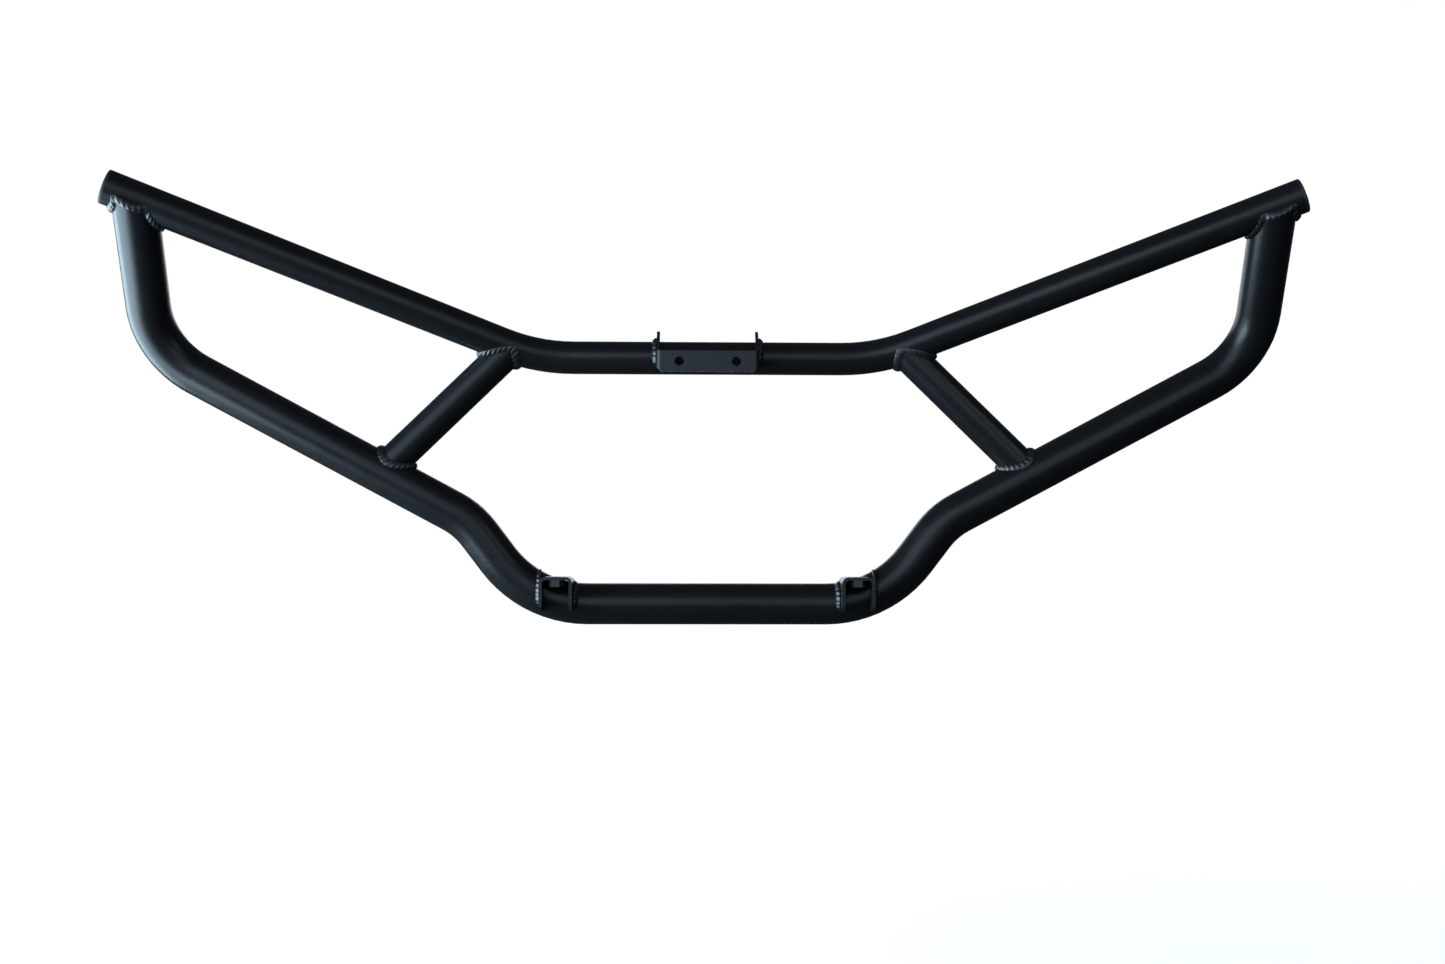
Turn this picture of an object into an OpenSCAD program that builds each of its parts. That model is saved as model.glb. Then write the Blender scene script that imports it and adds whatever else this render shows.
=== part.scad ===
// Front bumper of an all-terrain vehicle: a welded frame of bent round steel tube.
// The frame stands as it is fitted. +Y points forward, +X to the right, +Z up.
// The origin is midway between the two bolt holes, on the rear face of the top bracket.

/* [Upper tube] */
// Outer diameter of the upper tube
upper_d = 32; // [26:0.5:36]
// Wall thickness of the upper tube
upper_wall = 2; // [1.5:0.1:3]
// Distance between the corners of the two bends of the upper tube
upper_run = 334; // [300:1:360]
// Length of each wing, from its bend corner to the outside of its end cap
wing_len = 417; // [380:1:440]
// Angle by which the wings sweep back towards the vehicle, in plan
wing_back = 18; // [12:0.5:22]
// Angle by which the wings rise, seen from the rear
wing_up = 20; // [16:0.5:23]
// Centreline radius of the bends of the upper tube
upper_bend = 155; // [90:1:170]

/* [Lower hoop] */
// Outer diameter of the hoop tube
hoop_d = 40; // [36:0.5:44]
// Wall thickness of the hoop tube
hoop_wall = 2; // [1.5:0.1:3]
// Height of the upper tube's axis over the axis of the hoop's bottom run
hoop_drop = 240; // [225:1:260]
// Distance between the corners of the bottom bends
hoop_run = 340; // [310:1:380]
// How far the reverse bends' corners lie outside the bottom bends' corners
elbow_out = 61; // [56:1:68]
// Height of the reverse bends' corners over the bottom run
elbow_rise = 81; // [76:1:86]
// How far the reverse bends' corners lie behind the bottom run
elbow_back = 6; // [0:1:12]
// Half the distance between the corners of the outer bends
shoulder_x = 526; // [515:1:540]
// Height of the outer bends' corners over the bottom run
shoulder_rise = 240; // [225:1:250]
// How far the outer bends' corners lie behind the bottom run
shoulder_back = 33; // [20:1:45]
// Centreline radius of the bottom bends
bottom_bend = 108; // [80:1:112]
// Centreline radius of the reverse bends
elbow_bend = 80; // [60:1:90]
// Centreline radius of the outer bends
shoulder_bend = 70; // [60:1:80]
// Distance along the wing from the outside of its end cap to the hoop's axis
hoop_inset = 27; // [26:1:36]

/* [Braces] */
// Outer diameter of the braces
brace_d = 32; // [24:0.5:32]
// Wall thickness of the braces
brace_wall = 2; // [1.5:0.1:3]
// Distance along the wing from its bend corner to the brace's axis
brace_top = 26; // [20:1:60]
// Distance along the hoop's slope from its reverse bend corner to the brace's axis
brace_foot = 95; // [80:1:120]

/* [Plates] */
// Thickness of the bracket plates
plate = 3; // [2:0.1:4]
// Gap between the top bracket's plate and the upper tube, for the bolt nuts
stand_off = 11; // [8:0.5:20]
// Depth of the bolt holes of the top bracket below the upper tube's axis
hole_drop = 6.5; // [2:0.5:10]
// Width of the top bracket over its side flanges
top_w = 99; // [85:1:120]
// Height of the top bracket's plate
top_h = 20.5; // [17:0.5:26]
// Height of the flange tips over the upper tube's axis
tip_rise = 26; // [22:0.5:32]
// Width of the flange tips
tip_w = 5; // [3:0.5:8]
// Outer radius of the bends of the top bracket
top_bend = 4.5; // [3.5:0.5:7]
// Cut-off at the lower corners of the top bracket
corner_cut = 5; // [2:0.5:7]
// Distance between the two bolt holes of the top bracket
hole_pitch = 55; // [40:1:65]
// Diameter of the bolt holes
hole_d = 9; // [6:0.1:10]
// Distance of the lower brackets from the middle of the bumper
low_x = 144; // [110:1:150]
// Width of a lower bracket over its cheeks
low_w = 31.5; // [26:0.5:40]
// Height of a lower bracket's top over the hoop's axis
low_rise = 26.5; // [25:0.5:32]
// Depth of the cheeks' feet below the hoop's axis
low_foot = 6; // [0:0.5:10]
// Distance of the lower bolt axis behind the hoop's axis
bolt_back = 30; // [28:0.5:40]
// Length of the plate behind the lower bolt axis
bolt_edge = 8; // [7.5:0.5:14]
// Length of the plate ahead of the hoop's highest line
crest_lap = 2; // [0:0.5:8]
// Outer radius of the bends of the lower brackets
low_bend = 6; // [4:0.5:9]
// Radius of the cheeks' rear lower corners
foot_round = 5; // [2:0.5:8]

/* [Weld nuts] */
// Width of a weld nut across its flats
nut_af = 13; // [11:0.5:15]
// Height of a weld nut
nut_h = 6.5; // [5:0.5:8]
// Diameter of the nut's thread
thread_d = 8; // [6:0.5:9]
// Countersink of the nut's thread
thread_sink = 0.6; // [0.3:0.1:1]

/* [End caps] */
// Thickness of a cap's head
cap_head = 3; // [2:0.5:6]
// Rounding of the head's edge
cap_round = 1.5; // [0.5:0.1:2]
// Length of a cap's plug inside the tube
cap_plug = 14; // [8:1:20]
// Wall of the plug
cap_wall = 2.5; // [1.5:0.1:4]
// Clearance between the plug and the tube's bore
cap_fit = 0.15; // [0.05:0.05:0.3]

/* [Welds] */
// Leg length of the weld beads
weld_leg = 4.8; // [3:0.1:6]
// Rise of the beads over a flat fillet
weld_crown = 1.1; // [0.4:0.1:1.6]
// Distance from one weld ripple to the next
weld_pitch = 4.6; // [3.5:0.1:8]
// Depth of the ripples, as a part of the crown
ripple = 0.5; // [0.1:0.05:0.7]
// Clearance between a bead and the steel under it
weld_fit = 0.15; // [0.1:0.05:0.3]
// Clearance between a coped or saddle-cut edge and the tube it meets
cope_fit = 0.1; // [0.05:0.05:0.3]

/* [Hidden] */

satin_black = [0.10, 0.11, 0.12];
weld_black = [0.16, 0.17, 0.19];
cap_black = [0.07, 0.07, 0.08];
round_fn = 96;
// The bend die leaves a faint raised line where each bend starts and ends.
die_mark = 0.02;
die_half = 0.1;
eps = 0.01;

// Angles round a tube, from forwards over the top, between which a plate's beads run.
flange_span = [92, 212];
cheek_span = [104, 198];
// How much further round the bead on a cheek's outer side runs.
cheek_more = 8;
// Stations across a bead's crown, as parts of the way from toe to toe.
crown_steps = [0.2, 0.5, 0.8];
// A bead's legs keep this part of their length whatever the ripple.
leg_keep = 0.9;
// How steeply a bead's toe on the main tube slopes back along the branch, at
// its seat and for each millimetre that the branch's lip stands free of it.
toe_slope = 0.35;
toe_slope_free = 0.8;
toe_free_max = 3;
// Size of an open bead at its ends, and the stations over which it grows full.
bead_end = 0.45;
bead_grow = 3;

upper_r = upper_d / 2;
hoop_r = hoop_d / 2;
brace_r = brace_d / 2;

// Axis of the upper tube, and the wing's direction on the right side.
axis_y = plate + stand_off + upper_r;
axis_z = hole_drop;
wing = unit([1, -tan(wing_back), tan(wing_up)]);
corner = [upper_run / 2, axis_y, axis_z];
tube_end = corner + wing * (wing_len - cap_head);

// Corners of the hoop's centreline on the right side.
hoop_z = axis_z - hoop_drop;
low_corner = [hoop_run / 2, axis_y, hoop_z];
elbow = low_corner + [elbow_out, -elbow_back, elbow_rise];
shoulder = [shoulder_x, axis_y - shoulder_back, hoop_z + shoulder_rise];
hoop_top = corner + wing * (wing_len - hoop_inset);
leg_dir = unit(shoulder - hoop_top);
// The hoop runs past the wing's axis before its end is coped.
hoop_end = hoop_top - leg_dir * hoop_r;
slope_dir = unit(shoulder - elbow);

upper_pts = [mx(tube_end), mx(corner), corner, tube_end];
upper_bends = [upper_bend, upper_bend];
hoop_pts = [mx(hoop_end), mx(shoulder), mx(elbow), mx(low_corner),
  low_corner, elbow, shoulder, hoop_end];
hoop_bends = [shoulder_bend, elbow_bend, bottom_bend,
  bottom_bend, elbow_bend, shoulder_bend];
upper_line = centreline(upper_pts, upper_bends);
hoop_line = centreline(hoop_pts, hoop_bends);

// The braces run from one tube's true centreline to the other's.
brace_a = near(upper_line, corner + wing * brace_top);
brace_b = near(hoop_line, elbow + slope_dir * brace_foot);
brace_dir = unit(brace_b - brace_a);
brace_len = norm(brace_b - brace_a);
top_main = unit(near(upper_line, corner + wing * (brace_top + 1))
  - near(upper_line, corner + wing * (brace_top - 1)));

function unit(v) = v / norm(v);
function mx(p) = [-p[0], p[1], p[2]];
function mixed(a, b, u) = a * (1 - u) + b * u;

// Bend geometry of a polyline whose corners are rounded.
function legs(pts) = [for (i = [0:len(pts) - 2]) unit(pts[i + 1] - pts[i])];
function turns(d) = [for (i = [1:len(d) - 1]) acos(d[i - 1] * d[i])];
function tangents(a, radii) = [for (i = [0:len(a) - 1]) radii[i] * tan(a[i] / 2)];

// A centreline is a list of straight pieces [0, a, b]
// and of arcs [1, centre, x, y, z, radius, angle].
function centreline(pts, radii) =
  let (d = legs(pts), a = turns(d), t = tangents(a, radii), n = len(pts))
  concat(
    [for (i = [0:n - 2]) [0,
      pts[i] + d[i] * (i == 0 ? 0 : t[i - 1]),
      pts[i + 1] - d[i] * (i == n - 2 ? 0 : t[i])]],
    [for (i = [1:n - 2])
      let (z = unit(cross(d[i - 1], d[i])), in = cross(z, d[i - 1]))
      [1, pts[i] - d[i - 1] * t[i - 1] + in * radii[i - 1],
        -in, d[i - 1], z, radii[i - 1], a[i - 1]]]);

function near_piece(s, p) = s[0] == 0
  ? let (d = s[2] - s[1], l = norm(d), k = (p - s[1]) * d / l)
    s[1] + d / l * max(0, min(l, k))
  : let (q = p - s[1], w = atan2(q * s[3], q * s[2]), k = max(0, min(s[6], w)))
    s[1] + (s[2] * cos(k) + s[3] * sin(k)) * s[5];
// Nearest point of a centreline.
function near(line, p) =
  let (c = [for (s = line) near_piece(s, p)], d = [for (q = c) norm(p - q)], m = min(d))
  [for (i = [0:len(d) - 1]) if (d[i] == m) c[i]][0];
function off(line, p) = norm(p - near(line, p));
// Distance along dir at which a ray leaves a tube of radius r.
function leaves(line, r, p, dir, lo, hi, n = 26) = n == 0 ? (lo + hi) / 2 :
  let (mid = (lo + hi) / 2) off(line, p + dir * mid) < r
    ? leaves(line, r, p, dir, mid, hi, n - 1)
    : leaves(line, r, p, dir, lo, mid, n - 1);
// The point moved square to the tube until it lies at radius r.
function seated(line, r, p) = let (q = near(line, p)) q + unit(p - q) * r;

module framed(o, x, y) {
  z = cross(x, y);
  multmatrix([[x[0], y[0], z[0], o[0]], [x[1], y[1], z[1], o[1]],
    [x[2], y[2], z[2], o[2]], [0, 0, 0, 1]]) children();
}

// Children's +Z is turned to d, at point p.
module along(p, d) {
  h = abs(d[2]) < 0.9 ? [0, 0, 1] : [1, 0, 0];
  x = unit(cross(h, d));
  framed(p, x, cross(d, x)) children();
}

// Everything on the left is the mirror image of the right.
module side(s) {
  if (s > 0) children(); else mirror([1, 0, 0]) children();
}

// Section of a tube, or of a solid bar where the wall is zero.
module section(r, wall) {
  difference() {
    circle(r, $fn = round_fn);
    if (wall > 0) circle(r - wall, $fn = round_fn);
  }
}

// Round tube bent along a polyline, with a die mark at each end of each bend.
module bent_tube(pts, radii, r, wall) {
  d = legs(pts);
  a = turns(d);
  t = tangents(a, radii);
  n = len(pts);
  in_mark = wall > 0 ? wall + 2 * die_mark : 0;
  for (i = [0:n - 2]) {
    from = i == 0 ? 0 : t[i - 1] + die_half / 2;
    to = i == n - 2 ? 0 : t[i] + die_half / 2;
    along(pts[i] + d[i] * from, d[i])
      linear_extrude(norm(pts[i + 1] - pts[i]) - from - to) section(r, wall);
    if (i > 0) along(pts[i] + d[i] * (t[i - 1] - die_half), d[i])
      linear_extrude(2 * die_half) section(r + die_mark, in_mark);
    if (i < n - 2) along(pts[i + 1] - d[i] * (t[i] + die_half), d[i])
      linear_extrude(2 * die_half) section(r + die_mark, in_mark);
  }
  for (i = [1:n - 2]) {
    z = unit(cross(d[i - 1], d[i]));
    in = cross(z, d[i - 1]);
    trim = die_half / 2 / radii[i - 1] * 180 / PI;
    framed(pts[i] - d[i - 1] * t[i - 1] + in * radii[i - 1], -in, d[i - 1])
      rotate([0, 0, trim])
        rotate_extrude(angle = a[i - 1] - 2 * trim, $fn = 240)
          translate([radii[i - 1], 0]) section(r, wall);
  }
}

// Solid envelope of a tube's outside, which cuts copes and saddles.
module upper_envelope(fit) {
  bent_tube(upper_pts, upper_bends, upper_r + fit, 0);
}
module hoop_envelope(fit) {
  bent_tube([for (i = [1:6]) hoop_pts[i]], [for (i = [1:4]) hoop_bends[i]], hoop_r + fit, 0);
}

module upper_tube() {
  color(satin_black) bent_tube(upper_pts, upper_bends, upper_r, upper_wall);
}

// Keeps what lies on the leg's side of the wing's axis, and clears the wing.
module tip_cope() {
  lean = unit(leg_dir - wing * (leg_dir * wing));
  framed(hoop_top, wing, cross(-lean, wing))
    translate([-3 * hoop_d, -3 * hoop_d, 0]) cube([6 * hoop_d, 6 * hoop_d, 3 * hoop_d]);
  along(hoop_top - wing * 3 * hoop_d, wing)
    cylinder(h = 6 * hoop_d, r = upper_r + cope_fit, $fn = round_fn);
}

module lower_hoop() {
  color(satin_black) difference() {
    bent_tube(hoop_pts, hoop_bends, hoop_r, hoop_wall);
    for (s = [-1, 1]) side(s) tip_cope();
  }
}

// Centre of the circle through three points.
function centre_of(a, b, c) = let (u = b - a, v = c - a, w = cross(u, v))
  a + ((v * v) * cross(w, u) + (u * u) * cross(v, w)) / (2 * (w * w));

// Cutter for a brace's top. One arc follows the tube there, from its bend onto its wing.
module cope_bar(fit) {
  a = near(upper_line, corner + wing * (brace_top - brace_r / 2));
  b = near(upper_line, corner + wing * (brace_top + brace_r / 2 - 1));
  c = near(upper_line, corner + wing * (brace_top + brace_r * 1.5 - 2));
  o = centre_of(a, b, c);
  r = norm(a - o);
  z = unit(cross(a - o, b - o));
  reach = 30 / r * 180 / PI;
  framed(o, unit(b - o), cross(z, unit(b - o))) rotate([0, 0, -reach])
    rotate_extrude(angle = 2 * reach, $fn = 240)
      translate([r, 0]) circle(upper_r + fit, $fn = round_fn);
}

module brace(s) {
  color(satin_black) side(s) difference() {
    difference() {
      along(brace_a, brace_dir) linear_extrude(brace_len) section(brace_r, brace_wall);
      cope_bar(2 * cope_fit);
    }
    hoop_envelope(cope_fit);
  }
}

// Push-in cap with a rounded head and a hollow plug, turned about the wing's axis.
module end_cap(s) {
  bore_r = upper_r - upper_wall - cap_fit;
  color(cap_black) side(s) along(tube_end, wing) rotate_extrude($fn = round_fn) union() {
    square([upper_r - cap_round, cap_head]);
    square([upper_r, cap_head - cap_round]);
    intersection() {
      translate([upper_r - cap_round, cap_head - cap_round]) circle(cap_round, $fn = 48);
      square([upper_r, cap_head]);
    }
    translate([bore_r - cap_wall, -cap_plug]) square([cap_wall, cap_plug + eps]);
  }
}

// Channel bent from plate, drawn open downwards with its top at y = 0.
module channel(w, depth, bend) {
  in = max(bend - plate, 0.3);
  difference() {
    union() {
      translate([-w / 2, -depth]) square([w, depth - bend]);
      translate([-w / 2 + bend, -depth]) square([w - 2 * bend, depth]);
      for (s = [-1, 1]) translate([s * (w / 2 - bend), -bend]) circle(bend, $fn = 64);
    }
    union() {
      translate([-w / 2 + plate, -depth - 1]) square([w - 2 * plate, depth + 1 - plate - in]);
      translate([-w / 2 + plate + in, -depth - 1])
        square([w - 2 * plate - 2 * in, depth + 1 - plate]);
      for (s = [-1, 1]) translate([s * (w / 2 - plate - in), -plate - in])
        circle(in, $fn = 64);
    }
  }
}

// Upper mount: a channel whose web takes the two bolts and whose flanges
// rise over the tube and are cut to it.
module top_bracket() {
  reach = axis_y + upper_r;
  tall = tip_rise + hole_drop;
  color(satin_black) difference() {
    intersection() {
      translate([0, 0, -top_h / 2]) linear_extrude(tall + top_h / 2)
        mirror([0, 1]) channel(top_w, reach, top_bend);
      translate([-top_w, 0, 0]) rotate([90, 0, 90]) linear_extrude(2 * top_w)
        polygon([[-1, -top_h / 2], [axis_y / 3, -top_h / 2], [axis_y, axis_z],
          [axis_y + tip_w / 2, tall], [axis_y - tip_w / 2, tall],
          [plate, top_h / 2], [-1, top_h / 2]]);
      translate([0, reach, 0]) rotate([90, 0, 0]) linear_extrude(reach + 1)
        polygon([[-top_w / 2 + corner_cut, -top_h / 2], [top_w / 2 - corner_cut, -top_h / 2],
          [top_w / 2, -top_h / 2 + corner_cut], [top_w / 2, tall],
          [-top_w / 2, tall], [-top_w / 2, -top_h / 2 + corner_cut]]);
    }
    upper_envelope(cope_fit);
    for (s = [-1, 1]) translate([s * hole_pitch / 2, plate + 1, 0])
      rotate([90, 0, 0]) cylinder(h = plate + 2, d = hole_d, $fn = 64);
  }
}

// Lower mount: a channel turned over the hoop, with a bolt hole behind the tube.
module lower_bracket(s) {
  rear = axis_y - bolt_back - bolt_edge;
  long = bolt_back + bolt_edge + crest_lap;
  tall = low_rise + low_foot;
  color(satin_black) side(s) translate([low_x, 0, hoop_z]) difference() {
    intersection() {
      translate([0, rear + long, low_rise]) rotate([90, 0, 0])
        linear_extrude(long) channel(low_w, tall, low_bend);
      translate([-low_w, 0, 0]) rotate([90, 0, 90]) linear_extrude(2 * low_w) union() {
        translate([rear, foot_round - low_foot]) square([long, tall - foot_round + 1]);
        translate([rear + foot_round, -low_foot]) square([long - foot_round, tall]);
        translate([rear + foot_round, foot_round - low_foot]) circle(foot_round, $fn = 64);
      }
    }
    translate([-low_x, 0, -hoop_z]) hoop_envelope(cope_fit);
    translate([0, axis_y - bolt_back, low_rise - plate - 1])
      cylinder(h = plate + 2, d = hole_d, $fn = 64);
  }
}

// Hexagonal weld nut under the lower bracket's plate.
module weld_nut(s) {
  color(weld_black) side(s)
    translate([low_x, axis_y - bolt_back, hoop_z + low_rise - plate - nut_h]) difference() {
      cylinder(h = nut_h, d = nut_af / cos(30), $fn = 6);
      translate([0, 0, -1]) cylinder(h = nut_h + 2, d = thread_d, $fn = 64);
      translate([0, 0, -eps]) cylinder(h = thread_sink, r1 = thread_d / 2 + thread_sink,
        r2 = thread_d / 2, $fn = 64);
    }
}

// Evenly spaced stations along a path given at uneven ones: [parameter, ...].
function run_sums(p) = [for (i = 0, s = 0; i < len(p);
  s = s + (i < len(p) - 1 ? norm(p[i + 1] - p[i]) : 0), i = i + 1) s];
function ripples(length) = max(3, round(length / weld_pitch));
// Each ripple has three stations: its trough, its crest and its fall.
function beat(k) = k % 3 == 0 ? 1 - ripple : k % 3 == 1 ? 1 + ripple / 4 : 1;

// Where the wall of a branch tube, at angle w, meets the outside of the main tube.
function saddle_point(line, r, joint, main, dir, br, w) =
  let (e = unit(main - dir * (main * dir)), f = cross(dir, e),
    p = joint + (e * cos(w) + f * sin(w)) * (br + weld_fit),
    n = unit(dir - main * (main * dir)),
    lip = -((p - joint) * n) / (dir * n))
  off(line, p + dir * lip) >= r + weld_fit ? p + dir * lip
    : p + dir * leaves(line, r + weld_fit, p, dir, lip, lip + 4 * r);

// Section of a fillet bead at k: root, toe on the main tube, crown, toe on the branch.
function saddle_ring(line, r, joint, dir, k, b) =
  let (nb = unit((k - joint) - dir * ((k - joint) * dir)),
    nm = unit(k - near(line, k)),
    free = off(line, k) - r - weld_fit,
    v = nb - dir * (toe_slope + toe_slope_free * min(toe_free_max, max(0, free))),
    d = unit(v - nm * (v * nm)),
    leg = weld_leg * (leg_keep + (1 - leg_keep) * b),
    ma = seated(line, r + weld_fit, k + d * leg / 2),
    mb = seated(line, r + weld_fit, k + d * leg),
    bt = k + dir * leg,
    o = unit(d + dir + nm + nb),
    rise = weld_crown * b + max(0, (k - mixed(mb, bt, 0.5)) * o))
  concat([k, ma, mb], [for (u = crown_steps)
    mixed(mb, bt, u) + o * rise * 4 * u * (1 - u)], [bt]);

// Closed bead round the end of a branch tube.
module saddle_weld(line, r, joint, main, dir, br) {
  steps = 180;
  raw = [for (i = [0:steps]) saddle_point(line, r, joint, main, dir, br, i * 360 / steps)];
  sums = run_sums(raw);
  table = [for (i = [0:steps]) [sums[i], i * 360 / steps]];
  n = 3 * ripples(sums[steps]);
  rings = [for (k = [0:n - 1]) saddle_ring(line, r, joint, dir,
    saddle_point(line, r, joint, main, dir, br, lookup(k * sums[steps] / n, table)), beat(k))];
  m = len(rings[0]);
  polyhedron(points = [for (g = rings, p = g) p],
    faces = [for (i = [0:n - 1], j = [0:m - 1])
      let (a = i * m + j, b = i * m + (j + 1) % m,
        c = ((i + 1) % n) * m + (j + 1) % m, e = ((i + 1) % n) * m + j)
      each [[a, e, c], [a, c, b]]]);
}

// Where a plate's face at x meets the outside of a tube, at angle w round the tube.
function edge_point(line, r, x, y, z, w) =
  let (p = [x, y, z], d = [0, cos(w), sin(w)])
  p + d * leaves(line, r + weld_fit, p, d, 0, 3 * r);

function edge_ring(line, r, out, k, b) =
  let (np = [out, 0, 0],
    nm = unit(k - near(line, k)),
    d = unit(np - nm * (np * nm)),
    up = unit(nm - np * (np * nm)),
    leg = weld_leg * (leg_keep + (1 - leg_keep) * b),
    mb = seated(line, r + weld_fit, k + d * leg),
    bt = k + up * leg,
    o = unit(nm + np))
  concat([k, mb], [for (u = crown_steps)
    mixed(mb, bt, u) + o * weld_crown * b * 4 * u * (1 - u)], [bt]);

// Open bead along the saddle-cut edge of a plate, over a span of angles.
module edge_weld(line, r, x, y, z, out, span) {
  steps = 60;
  face = x + out * weld_fit;
  raw = [for (i = [0:steps]) edge_point(line, r, face, y, z, mixed(span[0], span[1], i / steps))];
  sums = run_sums(raw);
  table = [for (i = [0:steps]) [sums[i], mixed(span[0], span[1], i / steps)]];
  n = 3 * ripples(sums[steps]);
  rings = [for (k = [0:n])
    let (q = edge_point(line, r, face, y, z, lookup(k * sums[steps] / n, table)),
      g = edge_ring(line, r, out, q, beat(k)),
      full = min(1, mixed(bead_end, 1, min(k, n - k) / bead_grow)))
    [for (p = g) mixed(q, p, full)]];
  m = len(rings[0]);
  faces = concat(
    [for (i = [0:n - 1], j = [0:m - 1])
      let (a = i * m + j, b = i * m + (j + 1) % m,
        c = (i + 1) * m + (j + 1) % m, e = (i + 1) * m + j)
      each [[a, e, c], [a, c, b]]],
    [[for (j = [0:m - 1]) j], [for (j = [m - 1:-1:0]) n * m + j]]);
  polyhedron(points = [for (g = rings, p = g) p],
    faces = out > 0 ? faces : [for (f = faces) [for (j = [len(f) - 1:-1:0]) f[j]]]);
}

module weld_tip(s) {
  color(weld_black) side(s)
    saddle_weld(upper_line, upper_r, hoop_top, wing, leg_dir, hoop_r);
}
module weld_brace_top(s) {
  color(weld_black) side(s)
    saddle_weld(upper_line, upper_r, brace_a, top_main, brace_dir, brace_r);
}
module weld_brace_foot(s) {
  color(weld_black) side(s)
    saddle_weld(hoop_line, hoop_r, brace_b, slope_dir, -brace_dir, brace_r);
}
module weld_flange(s) {
  color(weld_black) side(s)
    edge_weld(upper_line, upper_r, top_w / 2, axis_y, axis_z, 1, flange_span);
}
// Beads on the outsides of a lower bracket's cheeks; out is +1 away from the middle.
module weld_cheek(s, out) {
  x = low_x + out * low_w / 2;
  z = near(hoop_line, [x, axis_y, hoop_z])[2];
  color(weld_black) side(s)
    edge_weld(hoop_line, hoop_r, x, axis_y, z, out, cheek_span + [0, out > 0 ? cheek_more : 0]);
}

upper_tube();
lower_hoop();
brace(-1);  // brace_left
brace(1);  // brace_right
end_cap(-1);  // end_cap_left
end_cap(1);  // end_cap_right
top_bracket();
lower_bracket(-1);  // lower_bracket_left
lower_bracket(1);  // lower_bracket_right
weld_nut(-1);  // weld_nut_left
weld_nut(1);  // weld_nut_right
weld_tip(-1);  // weld_tip_left
weld_tip(1);  // weld_tip_right
weld_brace_top(-1);  // weld_brace_top_left
weld_brace_top(1);  // weld_brace_top_right
weld_brace_foot(-1);  // weld_brace_foot_left
weld_brace_foot(1);  // weld_brace_foot_right
weld_flange(-1);  // weld_flange_left
weld_flange(1);  // weld_flange_right
weld_cheek(-1, 1);  // weld_cheek_left_outer
weld_cheek(-1, -1);  // weld_cheek_left_inner
weld_cheek(1, -1);  // weld_cheek_right_inner
weld_cheek(1, 1);  // weld_cheek_right_outer
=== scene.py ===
import math

import bpy
from mathutils import Matrix, Vector


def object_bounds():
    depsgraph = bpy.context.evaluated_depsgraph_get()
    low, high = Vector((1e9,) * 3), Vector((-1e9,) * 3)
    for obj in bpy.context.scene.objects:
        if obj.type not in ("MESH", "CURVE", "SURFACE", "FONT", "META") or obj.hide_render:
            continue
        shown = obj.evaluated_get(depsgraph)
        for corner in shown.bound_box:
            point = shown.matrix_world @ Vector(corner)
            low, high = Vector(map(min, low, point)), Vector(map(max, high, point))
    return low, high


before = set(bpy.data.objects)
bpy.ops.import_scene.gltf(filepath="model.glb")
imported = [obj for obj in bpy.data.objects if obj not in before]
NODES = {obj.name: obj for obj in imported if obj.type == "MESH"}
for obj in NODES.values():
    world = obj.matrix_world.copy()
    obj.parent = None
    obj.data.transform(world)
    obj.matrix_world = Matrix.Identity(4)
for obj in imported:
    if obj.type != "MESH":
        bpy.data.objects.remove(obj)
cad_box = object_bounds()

scene = bpy.context.scene

# Camera: its place in metres, its turns in radians, and its focal length in
# pixels of the photograph's width.
CAMERA_PLACE = (-0.0181, -1.4091, -0.18105)
CAMERA_YAW = 0.023
CAMERA_PITCH = 0.046
CAMERA_ROLL = 0.002
SENSOR_WIDTH = 36.0
FOCAL_PIXELS = 1474.5
PHOTO_WIDTH = 1445.0
CLIP_NEAR = 0.01
CLIP_FAR = 60.0

# Noise scales of the paint, in waves per metre.
DRIFT_SCALE = 9.0
CLOUD_SCALE = 55.0
PEEL_SCALE = 620.0
GRAIN_SCALE = 2600.0

# Most values of a noise lie in these ranges: the narrow one spreads a colour
# over its two tones, and the wide one a roughness over its two limits.
TONE_RANGE = (0.35, 0.65)
GLOSS_RANGE = (0.3, 0.7)

# Painted highlight: the colour is made lighter where the pointiness of the surface is in this
# range, on sharp edges.
EDGE_HIGHLIGHT_RANGE = (0.53, 0.62)
EDGE_HIGHLIGHT_LIFT = 2.2

# Floor: how far it lies below the object, its half side, and the distances
# from the middle between which it runs out to plain white.
FLOOR_DROP = 0.45
FLOOR_REACH = 12.0
FLOOR_FADE = (0.9, 2.6)

WHITE = (1.0, 1.0, 1.0)
ROOM_TINT = (0.85, 0.90, 1.0)
ROOM_STRENGTH = 0.08
LAMP_BLUE = (0.66, 0.82, 1.0)
LOW_BLUE = (0.66, 0.84, 1.0)
WINDOW_BLUE = (0.64, 0.86, 1.0)
FAR_BLUE = (0.80, 0.90, 1.0)


def aim(cam, where, yaw, pitch, roll):
    ahead = Vector((
        math.sin(yaw) * math.cos(pitch),
        math.cos(yaw) * math.cos(pitch),
        math.sin(pitch),
    ))
    level = Vector((math.cos(yaw), -math.sin(yaw), 0.0))
    above = level.cross(ahead)
    right = level * math.cos(roll) + above * math.sin(roll)
    up = -level * math.sin(roll) + above * math.cos(roll)
    turn = Matrix((right, up, -ahead)).transposed().to_4x4()
    turn.translation = Vector(where)
    cam.matrix_world = turn


def add_camera():
    lens = bpy.data.cameras.new("camera")
    lens.sensor_width = SENSOR_WIDTH
    lens.sensor_fit = "HORIZONTAL"
    lens.lens = SENSOR_WIDTH * FOCAL_PIXELS / PHOTO_WIDTH
    lens.clip_start = CLIP_NEAR
    lens.clip_end = CLIP_FAR
    cam = bpy.data.objects.new("camera", lens)
    scene.collection.objects.link(cam)
    scene.camera = cam
    aim(cam, CAMERA_PLACE, CAMERA_YAW, CAMERA_PITCH, CAMERA_ROLL)


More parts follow.
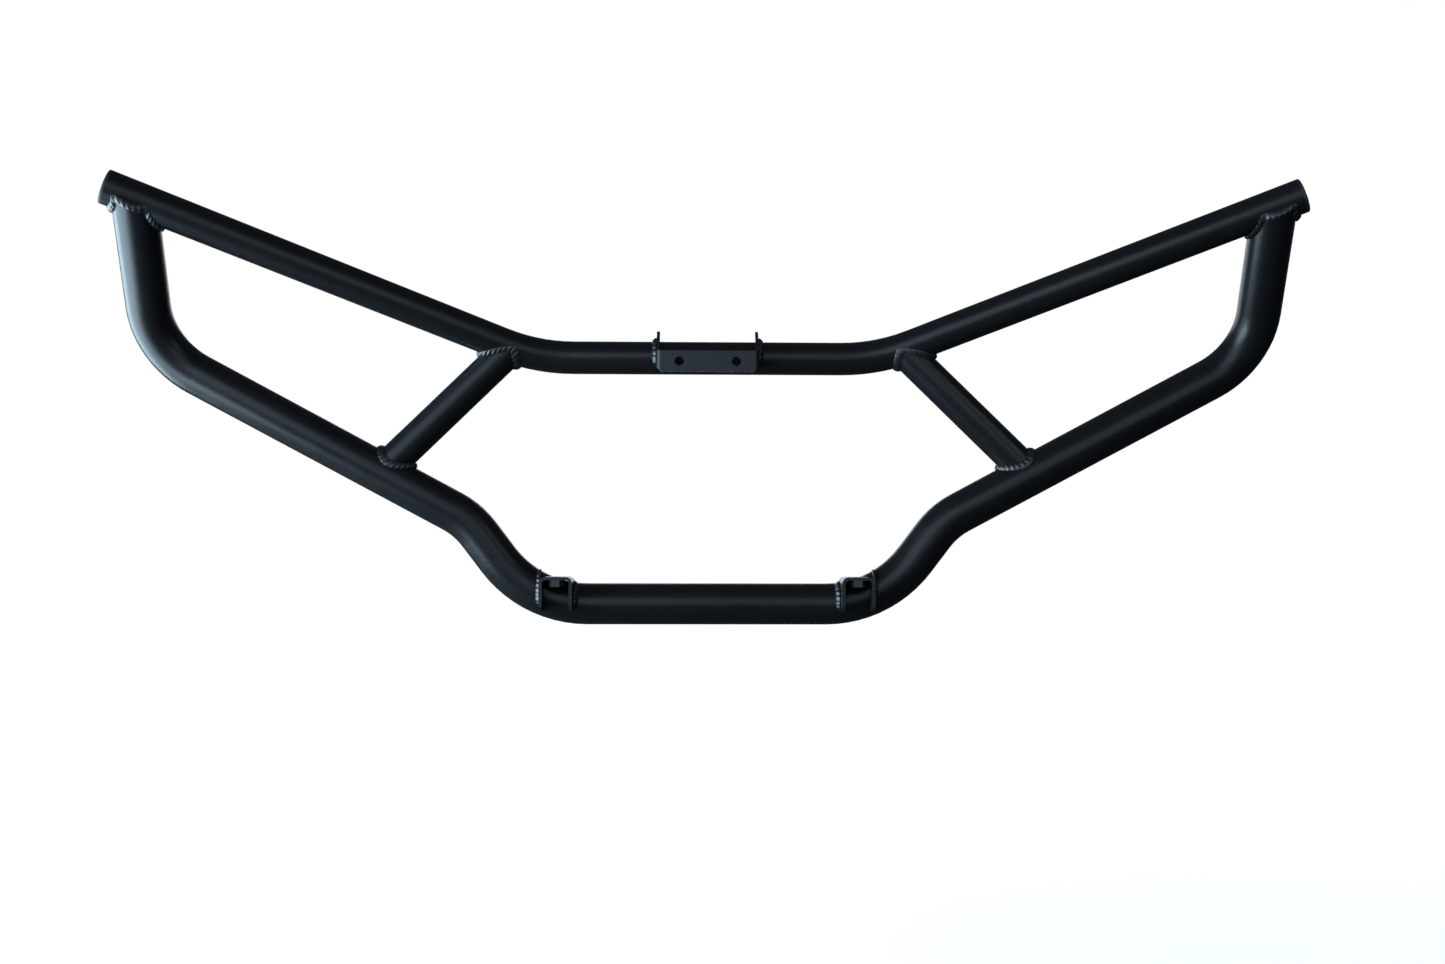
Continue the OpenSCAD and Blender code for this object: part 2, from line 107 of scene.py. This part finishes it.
class Net:
    """Adds nodes to one node tree and links them."""

    def __init__(self, tree):
        self.tree = tree

    def add(self, kind, **values):
        node = self.tree.nodes.new(kind)
        for key, value in values.items():
            if key in node.inputs:
                node.inputs[key].default_value = value
            else:
                setattr(node, key, value)
        return node

    def link(self, a, b):
        self.tree.links.new(a, b)

    def noise(self, coord, scale, detail, rough):
        node = self.add("ShaderNodeTexNoise", Scale=scale, Detail=detail, Roughness=rough)
        self.link(coord, node.inputs["Vector"])
        return node.outputs["Fac"]

    def spread(self, value, source, target):
        node = self.add("ShaderNodeMapRange")
        node.inputs["From Min"].default_value = source[0]
        node.inputs["From Max"].default_value = source[1]
        node.inputs["To Min"].default_value = target[0]
        node.inputs["To Max"].default_value = target[1]
        self.link(value, node.inputs["Value"])
        return node.outputs["Result"]

    def blend(self, a, b, share):
        """a and b added, with share of a and the rest of b."""
        parts = []
        for source, weight in ((a, share), (b, 1.0 - share)):
            part = self.add("ShaderNodeMath", operation="MULTIPLY")
            self.link(source, part.inputs[0])
            part.inputs[1].default_value = weight
            parts.append(part)
        total = self.add("ShaderNodeMath", operation="ADD")
        self.link(parts[0].outputs[0], total.inputs[0])
        self.link(parts[1].outputs[0], total.inputs[1])
        return total.outputs[0]

    def mix(self, factor, a, b):
        node = self.add("ShaderNodeMix", data_type="RGBA")
        self.link(factor, node.inputs["Factor"])
        for name, value in (("A", a), ("B", b)):
            socket = [i for i in node.inputs if i.name == name and i.type == "RGBA"][0]
            if isinstance(value, tuple):
                socket.default_value = (*value, 1.0)
            else:
                self.link(value, socket)
        return [o for o in node.outputs if o.type == "RGBA"][0]

    def bump(self, height, strength, distance, under=None):
        node = self.add("ShaderNodeBump", Strength=strength, Distance=distance)
        self.link(height, node.inputs["Height"])
        if under is not None:
            self.link(under, node.inputs["Normal"])
        return node.outputs["Normal"]

    def camera_choice(self, seen, other):
        """A shader that shows seen to the camera and other to every other ray."""
        path = self.add("ShaderNodeLightPath")
        choice = self.add("ShaderNodeMixShader")
        self.link(path.outputs["Is Camera Ray"], choice.inputs["Fac"])
        self.link(other, choice.inputs[1])
        self.link(seen, choice.inputs[2])
        return choice.outputs[0]


def cleared(tree):
    tree.nodes.clear()
    return Net(tree)


def material(name):
    mat = bpy.data.materials.new(name)
    mat.use_nodes = True
    net = cleared(mat.node_tree)
    out = net.add("ShaderNodeOutputMaterial")
    bsdf = net.add("ShaderNodeBsdfPrincipled")
    net.link(bsdf.outputs["BSDF"], out.inputs["Surface"])
    coord = net.add("ShaderNodeTexCoord").outputs["Object"]
    return mat, net, bsdf, coord


# Satin powder coat: a soft orange peel, a finer grain in it, slow drifts in
# colour and gloss, and a painted highlight that lightens sharp edges.
def powder(name, base, lift, rough, peel, coat=0.0, edges=0.0):
    mat, net, bsdf, coord = material(name)
    drift = net.noise(coord, DRIFT_SCALE, 3.0, 0.55)
    cloud = net.noise(coord, CLOUD_SCALE, 3.0, 0.6)
    orange = net.noise(coord, PEEL_SCALE, 2.0, 0.45)
    grain = net.noise(coord, GRAIN_SCALE, 2.0, 0.6)
    tone = net.spread(net.blend(drift, cloud, 0.6), TONE_RANGE, (0.0, 1.0))
    colour = net.mix(tone, base, lift)
    # Painted highlight: sharp edges get a lighter colour.
    if edges > 0:
        sharp = net.add("ShaderNodeNewGeometry").outputs["Pointiness"]
        painted_edge_highlight = net.spread(sharp, EDGE_HIGHLIGHT_RANGE, (0.0, edges))
        colour = net.mix(painted_edge_highlight, colour, tuple(EDGE_HIGHLIGHT_LIFT * c for c in lift))
    gloss = net.spread(net.blend(cloud, orange, 0.5), GLOSS_RANGE, (rough - 0.04, rough + 0.05))
    net.link(colour, bsdf.inputs["Base Color"])
    net.link(gloss, bsdf.inputs["Roughness"])
    bsdf.inputs["IOR"].default_value = 1.45
    bsdf.inputs["Specular IOR Level"].default_value = 0.35
    bsdf.inputs["Coat Weight"].default_value = coat
    bsdf.inputs["Coat Roughness"].default_value = 0.22
    waves = net.bump(orange, 0.22 * peel, 0.00012)
    net.link(net.bump(grain, 0.10 * peel, 0.00003, waves), bsdf.inputs["Normal"])
    return mat


# Paint over weld metal, a little uneven in colour, gloss and height.
def weld_paint():
    mat, net, bsdf, coord = material("weld_powder_coat")
    fine = net.noise(coord, 700.0, 3.0, 0.6)
    lump = net.noise(coord, 260.0, 2.0, 0.5)
    tone = net.spread(lump, TONE_RANGE, (0.0, 1.0))
    colour = net.mix(tone, (0.0060, 0.0066, 0.0080), (0.0105, 0.0120, 0.0145))
    net.link(colour, bsdf.inputs["Base Color"])
    net.link(net.spread(fine, GLOSS_RANGE, (0.27, 0.42)), bsdf.inputs["Roughness"])
    bsdf.inputs["IOR"].default_value = 1.5
    bsdf.inputs["Coat Weight"].default_value = 0.12
    bsdf.inputs["Coat Roughness"].default_value = 0.20
    lumps = net.bump(lump, 0.35, 0.0006)
    net.link(net.bump(fine, 0.25, 0.00015, lumps), bsdf.inputs["Normal"])
    return mat


def cap_plastic():
    mat, net, bsdf, coord = material("cap_plastic")
    spark = net.noise(coord, 1900.0, 2.0, 0.7)
    drift = net.noise(coord, 60.0, 2.0, 0.5)
    tone = net.spread(drift, TONE_RANGE, (0.0, 1.0))
    colour = net.mix(tone, (0.0105, 0.0110, 0.0120), (0.0135, 0.0140, 0.0150))
    net.link(colour, bsdf.inputs["Base Color"])
    net.link(net.spread(spark, GLOSS_RANGE, (0.44, 0.56)), bsdf.inputs["Roughness"])
    bsdf.inputs["IOR"].default_value = 1.46
    net.link(net.bump(spark, 0.2, 0.00005), bsdf.inputs["Normal"])
    return mat


# The beads are faceted solids, so their points are joined and their faces
# are rounded.
def soften(obj):
    join = obj.modifiers.new("join", "WELD")
    join.merge_threshold = 0.00002
    soft = obj.modifiers.new("soft", "SUBSURF")
    soft.levels = 2
    soft.render_levels = 2


def paint(obj, mat):
    obj.data.materials.clear()
    obj.data.materials.append(mat)


def dress_nodes():
    tube_mat = powder(
        "tube_powder_coat",
        base=(0.0050, 0.0054, 0.0064),
        lift=(0.0066, 0.0070, 0.0082),
        rough=0.32,
        peel=1.0,
    )
    plate_mat = powder(
        "plate_powder_coat",
        base=(0.0060, 0.0065, 0.0078),
        lift=(0.0080, 0.0086, 0.0100),
        rough=0.32,
        peel=1.1,
        edges=0.5,
    )
    nut_mat = powder(
        "nut_powder_coat",
        base=(0.0125, 0.0140, 0.0170),
        lift=(0.0170, 0.0190, 0.0230),
        rough=0.33,
        peel=0.8,
        coat=0.15,
        edges=0.6,
    )
    weld_mat = weld_paint()
    cap_mat = cap_plastic()
    for name, obj in NODES.items():
        if name.startswith("weld_nut"):
            paint(obj, nut_mat)
        elif name.startswith("weld_"):
            paint(obj, weld_mat)
            soften(obj)
        elif name.startswith("end_cap"):
            paint(obj, cap_mat)
        elif "bracket" in name:
            paint(obj, plate_mat)
        else:
            paint(obj, tube_mat)


# The camera sees a pale floor with the shadow that falls on it, which runs out
# to plain white far away. Other rays see a darker one, so that little light
# comes from below.
def floor_white(glow, pale, under):
    mat = bpy.data.materials.new("floor_white")
    mat.use_nodes = True
    net = cleared(mat.node_tree)
    out = net.add("ShaderNodeOutputMaterial")
    shine = net.add("ShaderNodeEmission", Color=(*WHITE, 1.0))
    away = net.add("ShaderNodeVectorMath", operation="LENGTH")
    net.link(net.add("ShaderNodeTexCoord").outputs["Object"], away.inputs[0])
    net.link(net.spread(away.outputs["Value"], FLOOR_FADE, (glow, 1.0)), shine.inputs["Strength"])
    matt = net.add("ShaderNodeBsdfDiffuse", Color=(pale, pale, pale, 1.0))
    seen = net.add("ShaderNodeAddShader")
    net.link(shine.outputs[0], seen.inputs[0])
    net.link(matt.outputs[0], seen.inputs[1])
    dark = net.add("ShaderNodeBsdfDiffuse", Color=(under, under, under, 1.0))
    net.link(net.camera_choice(seen.outputs[0], dark.outputs[0]), out.inputs["Surface"])
    return mat


def add_floor():
    z = cad_box[0][2] - FLOOR_DROP
    r = FLOOR_REACH
    corners = [(-r, -r, z), (r, -r, z), (r, r, z), (-r, r, z)]
    mesh = bpy.data.meshes.new("floor")
    mesh.from_pydata(corners, [], [(0, 1, 2, 3)])
    mesh.materials.append(floor_white(glow=0.62, pale=0.80, under=0.10))
    obj = bpy.data.objects.new("floor", mesh)
    scene.collection.objects.link(obj)


# The camera sees a white room. Other rays see a dim one.
def add_world():
    world = bpy.data.worlds.new("studio")
    scene.world = world
    world.use_nodes = True
    net = cleared(world.node_tree)
    out = net.add("ShaderNodeOutputWorld")
    seen = net.add("ShaderNodeBackground", Color=(*WHITE, 1.0), Strength=1.0)
    room = net.add("ShaderNodeBackground", Color=(*ROOM_TINT, 1.0), Strength=ROOM_STRENGTH)
    net.link(net.camera_choice(seen.outputs[0], room.outputs[0]), out.inputs["Surface"])


def softbox(name, where, at, size, watts, colour):
    light = bpy.data.lights.new(name, "AREA")
    light.shape = "RECTANGLE"
    light.size, light.size_y = size
    light.energy = watts
    light.color = colour
    obj = bpy.data.objects.new(name, light)
    obj.location = where
    facing = (Vector(at) - Vector(where)).to_track_quat("-Z", "Y")
    obj.rotation_euler = facing.to_euler()
    scene.collection.objects.link(obj)


# A wide one behind the camera on the left and a weaker one on the right, a
# bright one close on the left for the pale edge there, small ones low on the
# left and high on the right, and one for the far side.
def add_lights():
    softbox(
        "window_left",
        where=(-1.30, -0.20, -0.30),
        at=(-0.3, -0.1, -0.17),
        size=(1.5, 1.2),
        watts=62.0,
        colour=WINDOW_BLUE,
    )
    softbox(
        "low_left",
        where=(-1.00, -0.45, -0.55),
        at=(-0.35, 0.0, -0.22),
        size=(0.5, 0.3),
        watts=2.2,
        colour=LOW_BLUE,
    )
    softbox(
        "key_left",
        where=(-1.30, -2.3, 0.50),
        at=(0.0, 0.0, -0.1),
        size=(2.6, 1.7),
        watts=32.0,
        colour=LAMP_BLUE,
    )
    softbox(
        "key_right",
        where=(0.70, -2.3, 0.40),
        at=(0.0, 0.0, -0.1),
        size=(1.1, 1.5),
        watts=6.5,
        colour=LAMP_BLUE,
    )
    softbox(
        "high_right",
        where=(1.25, -1.10, 0.75),
        at=(0.25, 0.0, -0.12),
        size=(0.5, 0.5),
        watts=2.0,
        colour=LAMP_BLUE,
    )
    softbox(
        "far_side",
        where=(-0.5, 2.4, 0.35),
        at=(0.0, 0.0, -0.1),
        size=(2.0, 1.2),
        watts=16.0,
        colour=FAR_BLUE,
    )


add_camera()
dress_nodes()
add_floor()
add_world()
add_lights()
scene.view_settings.view_transform = "Standard"
